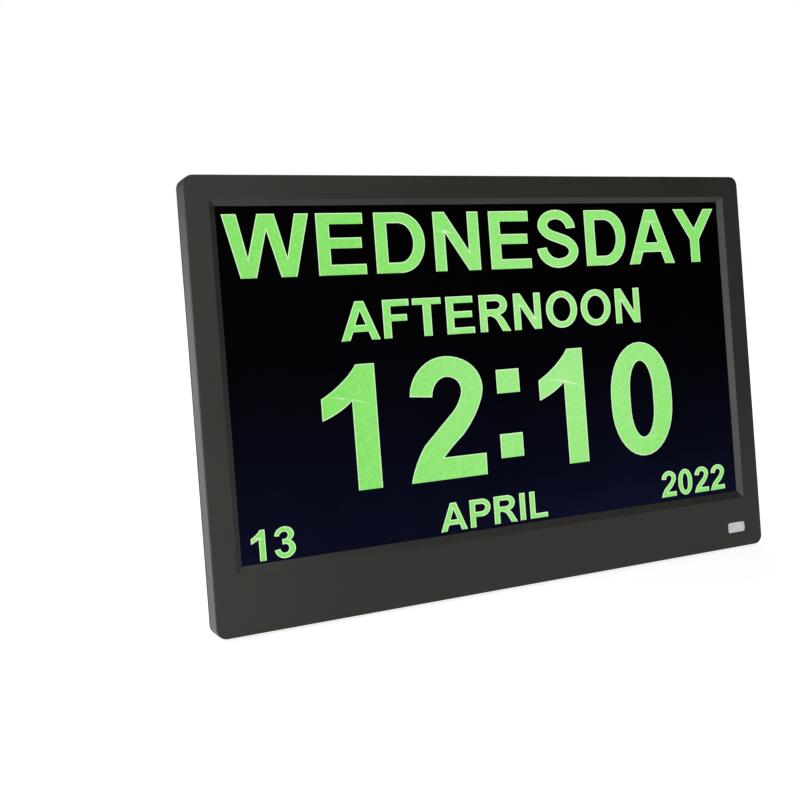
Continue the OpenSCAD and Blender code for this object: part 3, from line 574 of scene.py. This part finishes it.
# Letters and figures of the display. An outline is a list of corners in a unit box: (x, y) ends a
# straight side, and (x, y, cx, cy) ends a round one that leans towards the corner (cx, cy).
letterShapes = {
    "A": [[(0, 0), (0.395, 1), (0.62, 1), (1, 0), (0.784, 0), (0.707, 0.22), (0.311, 0.22), (0.223, 0)],
          [(0.369, 0.39), (0.512, 0.76), (0.647, 0.39)]],
    "D": [[(0, 0), (0, 1), (0.5, 1), (1, 0.51, 1, 1), (0.5, 0, 1, 0)],
          [(0.242, 0.825), (0.47, 0.825), (0.763, 0.505, 0.763, 0.825), (0.47, 0.172, 0.763, 0.172),
           (0.242, 0.172)]],
    "E": [[(0, 0), (0, 1), (0.975, 1), (0.975, 0.822), (0.265, 0.822), (0.265, 0.602), (0.93, 0.602),
           (0.93, 0.43), (0.265, 0.43), (0.265, 0.168), (1, 0.168), (1, 0)]],
    "F": [[(0, 0), (0, 1), (1, 1), (1, 0.826), (0.295, 0.826), (0.295, 0.608), (0.905, 0.608),
           (0.905, 0.437), (0.295, 0.437), (0.295, 0)]],
    "I": [[(0, 0), (0, 1), (1, 1), (1, 0)]],
    "L": [[(0, 0), (0, 1), (0.3, 1), (0.3, 0.175), (1, 0.175), (1, 0)]],
    "N": [[(0, 0), (0, 1), (0.252, 1), (0.755, 0.335), (0.755, 1), (1, 1), (1, 0), (0.738, 0),
           (0.243, 0.65), (0.243, 0)]],
    "O": [[(0.5, 1.015, 1, 1.015), (0, 0.5, 0, 1.015), (0.5, -0.015, 0, -0.015), (1, 0.5, 1, -0.015)],
          [(0.5, 0.838, 0.788, 0.838), (0.212, 0.5, 0.212, 0.838), (0.5, 0.162, 0.212, 0.162),
           (0.788, 0.5, 0.788, 0.162)]],
    "P": [[(0, 0), (0, 1), (0.58, 1), (1, 0.69, 1, 1), (0.57, 0.365, 1, 0.365), (0.26, 0.365), (0.26, 0)],
          [(0.26, 0.82), (0.54, 0.82), (0.75, 0.69, 0.75, 0.82), (0.54, 0.547, 0.75, 0.547), (0.26, 0.547)]],
    "R": [[(0, 0), (0, 1), (0.58, 1), (0.925, 0.722, 0.925, 1), (0.655, 0.452, 0.925, 0.49),
           (0.815, 0.30, 0.735, 0.415), (1, 0), (0.735, 0), (0.565, 0.285), (0.33, 0.42, 0.48, 0.42),
           (0.24, 0.42), (0.24, 0)],
          [(0.24, 0.828), (0.53, 0.828), (0.685, 0.72, 0.685, 0.828), (0.53, 0.605, 0.685, 0.605),
           (0.24, 0.605)]],
    "S": [[(0.955, 0.695), (0.49, 1.015, 0.94, 1.015), (0.045, 0.73, 0.045, 1.015),
           (0.37, 0.465, 0.045, 0.55), (0.63, 0.39), (0.77, 0.28, 0.77, 0.355), (0.505, 0.15, 0.77, 0.15),
           (0.225, 0.352, 0.265, 0.15), (0, 0.328), (0.505, -0.015, 0.03, -0.015), (1, 0.29, 1, -0.015),
           (0.64, 0.58, 1, 0.5), (0.4, 0.645), (0.278, 0.742, 0.278, 0.685), (0.49, 0.85, 0.278, 0.85),
           (0.735, 0.68, 0.705, 0.85)]],
    "T": [[(0.355, 0), (0.355, 0.83), (0, 0.83), (0, 1), (1, 1), (1, 0.83), (0.643, 0.83), (0.643, 0)]],
    "W": [[(0, 1), (0.165, 1), (0.268, 0.31), (0.401, 1), (0.599, 1), (0.723, 0.305), (0.836, 1), (1, 1),
           (0.82, 0), (0.639, 0), (0.497, 0.745), (0.353, 0), (0.172, 0)]],
    "Y": [[(0, 1), (0.245, 1), (0.495, 0.637), (0.752, 1), (1, 1), (0.605, 0.425), (0.605, 0), (0.385, 0),
           (0.385, 0.425)]],
    "0": [[(0.5, 1.012, 1, 1.012), (0, 0.55, 0, 1.012), (0, 0.45), (0.5, -0.012, 0, -0.012),
           (1, 0.45, 1, -0.012), (1, 0.55)],
          [(0.5, 0.845, 0.69, 0.845), (0.31, 0.57, 0.31, 0.845), (0.31, 0.43), (0.5, 0.155, 0.31, 0.155),
           (0.69, 0.43, 0.69, 0.155), (0.69, 0.57)]],
    "1": [[(0.56, 0), (0.555, 0.714), (0, 0.572, 0.36, 0.625), (0, 0.745), (0.657, 1, 0.476, 0.856), (1, 1),
           (1, 0)]],
    "2": [[(0.05, 0.702), (0.52, 1.012, 0.075, 1.012), (1, 0.735, 1, 1.012), (0.7, 0.35, 1, 0.56),
           (0.435, 0.18, 0.51, 0.245), (0.99, 0.18), (0.985, 0), (0, 0), (0.2, 0.295, 0.045, 0.155),
           (0.59, 0.55), (0.715, 0.725, 0.715, 0.64), (0.53, 0.842, 0.715, 0.842),
           (0.334, 0.684, 0.345, 0.842)]],
    "3": [[(0.017, 0.735), (0.49, 1.012, 0.06, 1.012), (0.953, 0.75, 0.953, 1.012),
           (0.76, 0.545, 0.953, 0.615), (1, 0.3, 1, 0.485), (0.48, -0.012, 1, -0.012),
           (0, 0.274, 0.05, -0.012), (0.258, 0.302),
           (0.475, 0.16, 0.285, 0.16), (0.69, 0.305, 0.69, 0.16), (0.5, 0.445, 0.69, 0.445), (0.383, 0.435),
           (0.383, 0.612), (0.46, 0.605), (0.66, 0.73, 0.66, 0.605), (0.485, 0.85, 0.66, 0.85),
           (0.225, 0.71, 0.27, 0.85)]],
    "dot": [[(0, 0), (0, 1), (1, 1), (1, 0)]],
}

# Each line of the display: height of its foot and head, then each letter with its left and right edge
displayLines = {
    "screenWeekday": {"foot": 50.4, "head": 76.4, "letters": [
        ("W", -125.8, -88.6), ("E", -85.5, -63.8), ("D", -59.1, -35.4), ("N", -30.8, -8.2), ("E", -2.8, 18.4),
        ("S", 21.9, 44.3), ("D", 48.7, 71.6), ("A", 73.3, 100.2), ("Y", 101.0, 125.9)]},
    "screenDaypart": {"foot": 22.6, "head": 39.1, "letters": [
        ("A", -77.8, -59.9), ("F", -58.0, -45.5), ("T", -43.8, -29.9), ("E", -27.5, -13.7), ("R", -10.8, 4.8),
        ("N", 7.0, 21.3), ("O", 24.2, 41.2), ("O", 43.3, 60.2), ("N", 63.0, 77.1)]},
    "screenHours": {"foot": -40.4, "head": 12.6, "letters": [("1", -89.0, -63.9), ("2", -50.1, -12.1)]},
    "screenColonTop": {"foot": -5.2, "head": 5.4, "letters": [("dot", -4.7, 7.1)]},
    "screenColonFoot": {"foot": -34.2, "head": -23.5, "letters": [("dot", -4.9, 6.9)]},
    "screenMinutes": {"foot": -40.5, "head": 12.5, "letters": [("1", 17.4, 42.0), ("0", 56.9, 92.4)]},
    "screenDate": {"foot": -63.7, "head": -51.1, "letters": [("1", -123.6, -117.6), ("3", -113.8, -104.8)]},
    "screenMonth": {"foot": -63.1, "head": -50.9, "letters": [
        ("A", -37.8, -24.7), ("P", -23.0, -12.5), ("R", -10.7, 1.0), ("I", 2.7, 5.5), ("L", 8.0, 17.2)]},
    "screenYear": {"foot": -62.5, "head": -50.3, "letters": [
        ("2", 82.4, 91.4), ("0", 92.8, 101.2), ("2", 102.6, 111.4), ("2", 112.6, 121.5)]},
}
pictureLayer = {"face": 2.2, "thickness": 0.04}
outlineLook = {"roundness": 0.56, "straight": 0.33, "steps": 9, "weld": 0.000002}


# Adds one closed outline to a flat curve, in millimetres
def drawOutline(shape, outline, left, right, foot, head):
    def place(x, y):
        return Vector((left + x * (right - left), foot + y * (head - foot), 0)) * mm

    spline = shape.splines.new("BEZIER")
    spline.bezier_points.add(len(outline) - 1)
    spline.use_cyclic_u = True
    spline.resolution_u = outlineLook["steps"]
    points = spline.bezier_points
    for point, corner in zip(points, outline):
        point.handle_left_type = point.handle_right_type = "FREE"
        point.co = place(*corner[:2])
    for i, corner in enumerate(outline):
        before, point = points[i - 1], points[i]
        if len(corner) == 4:
            pull, amount = place(*corner[2:]), outlineLook["roundness"]
            before.handle_right = before.co.lerp(pull, amount)
            point.handle_left = point.co.lerp(pull, amount)
        else:
            before.handle_right = before.co.lerp(point.co, outlineLook["straight"])
            point.handle_left = point.co.lerp(before.co, outlineLook["straight"])


# A thin flat plate of several outlines, drawn in x and y and facing +z
def drawPlate(name, outlines, thickness):
    bpy.ops.curve.primitive_bezier_circle_add()
    plate = bpy.context.object
    plate.name = name
    shape = plate.data
    shape.name = name
    shape.dimensions = "2D"
    shape.splines.clear()
    for outline, box in outlines:
        drawOutline(shape, outline, *box)
    shape.fill_mode = "BOTH"
    shape.extrude = thickness * mm / 2
    activate(plate)
    bpy.ops.object.convert(target="MESH")
    plate = bpy.context.object
    edit(plate, "VERT")
    bpy.ops.object.mode_set(mode="EDIT")
    bpy.ops.mesh.select_all(action="SELECT")
    bpy.ops.mesh.remove_doubles(threshold=outlineLook["weld"])
    bpy.ops.mesh.normals_make_consistent(inside=False)
    doneEditing()
    return plate


def buildDisplayLine(name, line):
    outlines = [(outline, (left, right, line["foot"], line["head"]))
                for letter, left, right in line["letters"] for outline in letterShapes[letter]]
    plate = drawPlate(name, outlines, pictureLayer["thickness"])
    plate.data.materials.clear()
    plate.data.materials.append(litRim)
    plate.data.materials.append(litGreen)
    pickFaces(plate, lambda middle, normal: normal.z > facing)
    bpy.ops.mesh.inset(thickness=litLook["rimWidth"] * mm, use_even_offset=True)
    doneEditing()
    for face in plate.data.polygons:
        if face.select and face.normal.z > facing:
            face.material_index = 1
    depth = pictureLayer["face"] - pictureLayer["thickness"] / 2
    settle(plate, (math.radians(90) - stance["lean"], 0, 0), caseToRoom(0, depth, 0))
    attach(plate, "clock")


for name, line in displayLines.items():
    buildDisplayLine(name, line)
print("display lines drawn")

# Key caps on the back: dished, with a raised sign each

keyLook = {
    "y": 20.8, "flange": 4.0, "flangeTop": 21.9, "cap": 3.2, "top": 25.2, "rimWidth": 0.45, "shoulder": 0.4,
    "shoulderRun": 0.75, "dish": 0.35, "dishSteps": ((0.5, 0.7), (0.7, 0.25), (0.6, 0.05)), "edge": 0.12,
    "z": 54.0, "pitch": 10.5, "sign": 2.5, "signThick": 0.4, "signRise": 0.14, "signEdge": 0.03, "sides": 64,
}
# Drawn as seen from behind, where the left and right arrows point away from the middle key
keySigns = {
    "menu": [[(0, y), (0, y + 0.18), (1, y + 0.18), (1, y)] for y in (0.05, 0.41, 0.77)],
    "left": [[(0.95, 0.5), (0.15, 0.02), (0.15, 0.98)]],
    "up": [[(0.02, 0.15), (0.5, 0.95), (0.98, 0.15)]],
    "ok": [[(0.5, 1, 1, 1), (0, 0.5, 0, 1), (0.5, 0, 0, 0), (1, 0.5, 1, 0)],
           [(0.5, 0.76, 0.76, 0.76), (0.24, 0.5, 0.24, 0.76), (0.5, 0.24, 0.24, 0.24),
            (0.76, 0.5, 0.76, 0.24)]],
    "down": [[(0.02, 0.85), (0.98, 0.85), (0.5, 0.05)]],
    "right": [[(0.05, 0.5), (0.85, 0.98), (0.85, 0.02)]],
    "power": [[(0.787, 0.91), (1, 0.5, 1, 0.76), (0.5, 0, 1, 0), (0, 0.5, 0, 0), (0.213, 0.91, 0, 0.76),
               (0.295, 0.793), (0.14, 0.5, 0.14, 0.687), (0.5, 0.14, 0.14, 0.14), (0.86, 0.5, 0.86, 0.14),
               (0.705, 0.793, 0.86, 0.687)],
              [(0.43, 0.5), (0.43, 1.08), (0.57, 1.08), (0.57, 0.5)]],
}


# One cap, standing on z = 0 with its axis up, in metres
def buildKeyCap():
    look = keyLook
    flangeHeight = look["flangeTop"] - look["y"]
    bpy.ops.mesh.primitive_cylinder_add(
        vertices=look["sides"], radius=look["flange"] * mm, depth=flangeHeight * mm,
        location=(0, 0, flangeHeight * mm / 2))
    cap = bpy.context.object
    cap.name = "keyCap"
    bpy.ops.object.transform_apply(location=True, rotation=True, scale=True)
    pickFaces(cap, lambda middle, normal: normal.z > facing)
    bpy.ops.mesh.inset(thickness=(look["flange"] - look["cap"]) * mm)
    liftFaces(look["top"] - look["flangeTop"] - look["shoulder"])
    bpy.ops.mesh.inset(thickness=look["shoulder"] * look["shoulderRun"] * mm)
    bpy.ops.transform.translate(value=(0, 0, look["shoulder"] * mm))
    bpy.ops.mesh.inset(thickness=look["rimWidth"] * mm)
    for width, share in look["dishSteps"]:
        bpy.ops.mesh.inset(thickness=width * mm)
        bpy.ops.transform.translate(value=(0, 0, -look["dish"] * share * mm))
    doneEditing()
    roundEdges(cap, look["edge"], steps=3, angle=25)
    return cap


# Extrudes the picked faces straight up by a length in millimetres
def liftFaces(length):
    bpy.ops.mesh.extrude_region_move(TRANSFORM_OT_translate={"value": (0, 0, length * mm)})


# The raised sign of a key, in the cap's own frame; its left stays on the left for someone behind the clock
def buildKeySign(name, outlines):
    look = keyLook
    half, edge = look["sign"] / 2, look["signEdge"]
    sign = drawPlate(name, [(outline, (-half, half, -half, half)) for outline in outlines], look["signThick"])
    pickFaces(sign, lambda middle, normal: normal.z > facing)
    bpy.ops.mesh.inset(thickness=edge * mm, use_even_offset=True)
    bpy.ops.transform.translate(value=(0, 0, edge * mm))
    doneEditing()
    dishFloor = look["top"] - look["y"] - look["dish"]
    settle(sign, (0, 0, 0), (0, 0, (dishFloor + look["signRise"] - look["signThick"] / 2 - edge) * mm))
    return sign


# Turns a piece whose axis is up to face the back, at x and z on the clock, and stands it at depth y
def faceBack(piece, x, y, z):
    settle(piece, (math.radians(90) + stance["lean"], 0, math.radians(180)), caseToRoom(x, y, z))


def buildKeys():
    pattern = buildKeyCap()
    middleKey = (len(keySigns) - 1) / 2
    for i, (name, outlines) in enumerate(keySigns.items()):
        activate(pattern)
        bpy.ops.object.duplicate(linked=False)
        cap = bpy.context.object
        cap.name = name + "KeyCap"
        cap.data.name = cap.name
        cap.data.materials.clear()
        cap.data.materials.append(keyPlastic)
        sign = buildKeySign(name + "KeySign", outlines)
        sign.data.materials.clear()
        sign.data.materials.append(keyPrint)
        activate(cap)
        sign.select_set(True)
        bpy.ops.object.join()
        faceBack(cap, (i - middleKey) * keyLook["pitch"], keyLook["y"], keyLook["z"])
        bpy.ops.object.shade_smooth_by_angle(angle=smoothAngle)
        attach(cap, name + "_key")
        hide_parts("key_" + name)
    activate(pattern)
    bpy.ops.object.delete()


buildKeys()
print("key caps made")

# Contacts in the sockets on the right side

contactLook = {
    "strip": {"wide": 1.0, "thick": 0.12, "sunk": 0.02, "inset": 0.12, "rise": 0.04, "round": 0.03},
    "usb": {"x": (99.0, 107.6), "y": 13.4, "rows": (5.5, 8.0, 10.0, 12.5)},
    "card": {"x": (89.0, 97.0), "y": 13.25, "z": 30.0, "pitch": 2.5, "count": 9},
    "ring": {"x": (106.6, 109.4), "y": 13.8, "z": -6.0, "outer": 1.74, "inner": 1.55, "round": 0.06},
    "pin": {"x": (100.6, 108.95), "y": 15.2, "z": -20.0, "outer": 1.05, "round": 0.35},
    "sides": 40,
}


# One contact strip along x, between two ends, with its face at depth y, towards the front or the back
def buildStrip(name, xs, y, z, way):
    look = contactLook["strip"]
    bpy.ops.mesh.primitive_cube_add(size=1)
    strip = bpy.context.object
    strip.name = name
    strip.scale = Vector((xs[1] - xs[0], look["thick"], look["wide"])) * mm
    depth = y + way * (look["thick"] / 2 - look["sunk"])
    strip.location = Vector(((xs[0] + xs[1]) / 2, depth, z)) * mm
    bpy.ops.object.transform_apply(location=True, rotation=True, scale=True)
    pickFaces(strip, lambda middle, normal: normal.y * way > facing)
    bpy.ops.mesh.inset(thickness=look["inset"] * mm)
    bpy.ops.transform.translate(value=(0, way * look["rise"] * mm, 0))
    doneEditing()
    roundEdges(strip, look["round"], steps=2, angle=30)
    return strip


def joinPieces(name, pieces):
    activate(pieces[0])
    for piece in pieces[1:]:
        piece.select_set(True)
    bpy.ops.object.join()
    joined = bpy.context.object
    joined.name = name
    joined.data.name = name
    return joined


# A turned metal part lying along x: a rounded pin, or a sleeve where it has an inner radius
def buildTurned(name, look):
    start, end = look["x"]
    outer, inner = look["outer"], look.get("inner")
    bpy.ops.mesh.primitive_cylinder_add(
        vertices=contactLook["sides"], radius=outer * mm, depth=(end - start) * mm)
    turned = bpy.context.object
    turned.name = name
    if inner:
        pickFaces(turned, lambda middle, normal: abs(normal.z) > facing)
        bpy.ops.mesh.inset(thickness=(outer - inner) * mm)
        bpy.ops.mesh.bridge_edge_loops()
        doneEditing()
    settle(turned, (0, math.radians(90), 0), Vector(((start + end) / 2, look["y"], look["z"])) * mm)
    roundEdges(turned, look["round"], steps=3, angle=40)
    return turned


def finishContact(piece, finish):
    piece.data.materials.clear()
    piece.data.materials.append(finish)
    leanBack(piece)
    bpy.ops.object.shade_smooth_by_angle(angle=smoothAngle)
    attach(piece, "clock")


usb, card = contactLook["usb"], contactLook["card"]
usbStrips = [buildStrip("usbStrip", usb["x"], usb["y"], z, 1) for z in usb["rows"]]
finishContact(joinPieces("usbContacts", usbStrips), goldPlate)
cardFoot = card["z"] - (card["count"] - 1) / 2 * card["pitch"]
cardStrips = [buildStrip("cardStrip", card["x"], card["y"], cardFoot + i * card["pitch"], -1)
              for i in range(card["count"])]
finishContact(joinPieces("cardContacts", cardStrips), goldPlate)
finishContact(buildTurned("headphoneRing", contactLook["ring"]), goldPlate)
finishContact(buildTurned("powerPin", contactLook["pin"]), brightSteel)
print("contacts made")

# Camera, at the photograph's angle

cameraLook = {
    "place": (-0.253118, -0.428866, 0.179153), "turn": (80.2745, -0.0683, -25.6617),
    "lens": 49.444, "shift": -0.034813, "sensor": 36, "clip": (0.01, 50),
}
bpy.ops.object.camera_add(location=cameraLook["place"],
                          rotation=[math.radians(angle) for angle in cameraLook["turn"]])
camera = bpy.context.object
camera.data.sensor_width = cameraLook["sensor"]
camera.data.lens = cameraLook["lens"]
camera.data.shift_y = cameraLook["shift"]
camera.data.clip_start, camera.data.clip_end = cameraLook["clip"]
bpy.context.scene.camera = camera

# Studio: a white floor, a plain world and five lamps

floorLook = {
    "size": 12.0, "seen": (0.5, 0.5, 0.5), "bounce": (0.22, 0.22, 0.22),
    "lift": (0.80, 1.0), "near": 0.2, "far": 1.0, "rough": 0.9,
}


# White where the eye meets it, with the clock's own shadow near it, and a dull bounce of light on the clock
def makeFloor():
    bpy.ops.mesh.primitive_plane_add(size=floorLook["size"])
    floor = bpy.context.object
    floor.name = "floor"
    finish, tree, shader = newMaterial("floorWhite")
    shader.inputs["Roughness"].default_value = floorLook["rough"]
    shader.inputs["Specular IOR Level"].default_value = 0.0
    path = addNode(tree, "LightPath")
    mirrored = addMath(tree, "MAXIMUM", path.outputs["Is Glossy Ray"], path.outputs["Is Transmission Ray"])
    seen = addMath(tree, "MAXIMUM", path.outputs["Is Camera Ray"], mirrored)
    colour = mixColour(tree, seen, floorLook["bounce"], floorLook["seen"])
    tree.links.new(colour, shader.inputs["Base Color"])
    place = addNode(tree, "TexCoord")
    reach = addNode(tree, "VectorMath", operation="LENGTH")
    tree.links.new(place.outputs["Object"], reach.inputs[0])
    lift = addRange(tree, reach.outputs["Value"], floorLook["near"], floorLook["far"], *floorLook["lift"])
    shader.inputs["Emission Color"].default_value = (1, 1, 1, 1)
    tree.links.new(addMath(tree, "MULTIPLY", seen, lift), shader.inputs["Emission Strength"])
    floor.data.materials.append(finish)


worldLook = {"front": 0.0, "behind": 0.12, "fade": (0.0, 0.6)}


# White where the camera sees it, and a faint light from behind the clock
def makeWorld():
    world = bpy.data.worlds.new("studioWorld")
    bpy.context.scene.world = world
    world.use_nodes = True
    tree = world.node_tree
    ground = tree.nodes["Background"]
    way = addNode(tree, "TexCoord")
    parts = addNode(tree, "SeparateXYZ")
    tree.links.new(way.outputs["Generated"], parts.inputs[0])
    around = addRange(tree, parts.outputs["Y"], *worldLook["fade"], worldLook["front"], worldLook["behind"])
    path = addNode(tree, "LightPath")
    level = addMath(tree, "MAXIMUM", path.outputs["Is Camera Ray"], around)
    tree.links.new(level, ground.inputs["Strength"])
    ground.inputs["Color"].default_value = (1, 1, 1, 1)


makeFloor()
makeWorld()

lampLooks = {
    "sideLamp": {"place": (-0.50, -0.17, 0.28), "size": 0.28, "power": 1.35},
    "frontLamp": {"place": (-0.50, -1.10, 0.26), "size": 0.55, "power": 6.3},
    "highLamp": {"place": (0.0, -0.80, 0.85), "size": 0.40, "power": 2.3},
    "leftLamp": {"place": (-0.90, 0.50, 0.50), "size": 0.60, "power": 2.2},
    "backLamp": {"place": (0.1, 0.9, 1.3), "size": 1.0, "power": 13.0},
}
lampAim = Vector((0, 0, 0.09))
for name, look in lampLooks.items():
    bpy.ops.object.light_add(type="AREA", location=look["place"])
    lamp = bpy.context.object
    lamp.name = name
    lamp.data.shape = "SQUARE"
    lamp.data.size = look["size"]
    lamp.data.energy = look["power"]
    aim = lampAim - Vector(look["place"])
    lamp.rotation_euler = aim.to_track_quat("-Z", "Y").to_euler()
print("camera, floor and lamps placed")

bpy.context.scene.view_settings.view_transform = "Standard"

bpy.context.view_layer.update()
